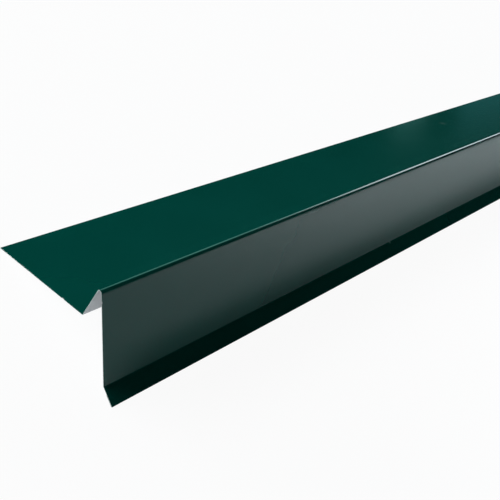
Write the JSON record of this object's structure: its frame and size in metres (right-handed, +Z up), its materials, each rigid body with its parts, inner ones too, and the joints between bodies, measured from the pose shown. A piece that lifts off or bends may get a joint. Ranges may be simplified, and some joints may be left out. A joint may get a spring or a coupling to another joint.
{
  "type": "gable trim",
  "caption": "Folded painted-steel gable trim: a flat roof flange, a raised ridge, a hanging face and a kicked-out drip with a hemmed edge, to cap the verge of a roof.",
  "frame": {"origin": "middle of the footprint, on the floor that the trim rests on", "axes": "+X along the length, +Y from the face towards the flange's back edge, +Z up as it rests, ridge uppermost"},
  "size_m": [2, 0.1538, 0.0794],
  "materials": {
    "coated_steel": "semi-gloss coil-coated polyester, moss green topcoat, grey backing coat, bare cut edges"
  },
  "bodies": {
    "root": {"gable_trim": "coated_steel"}
  },
  "joints": []
}
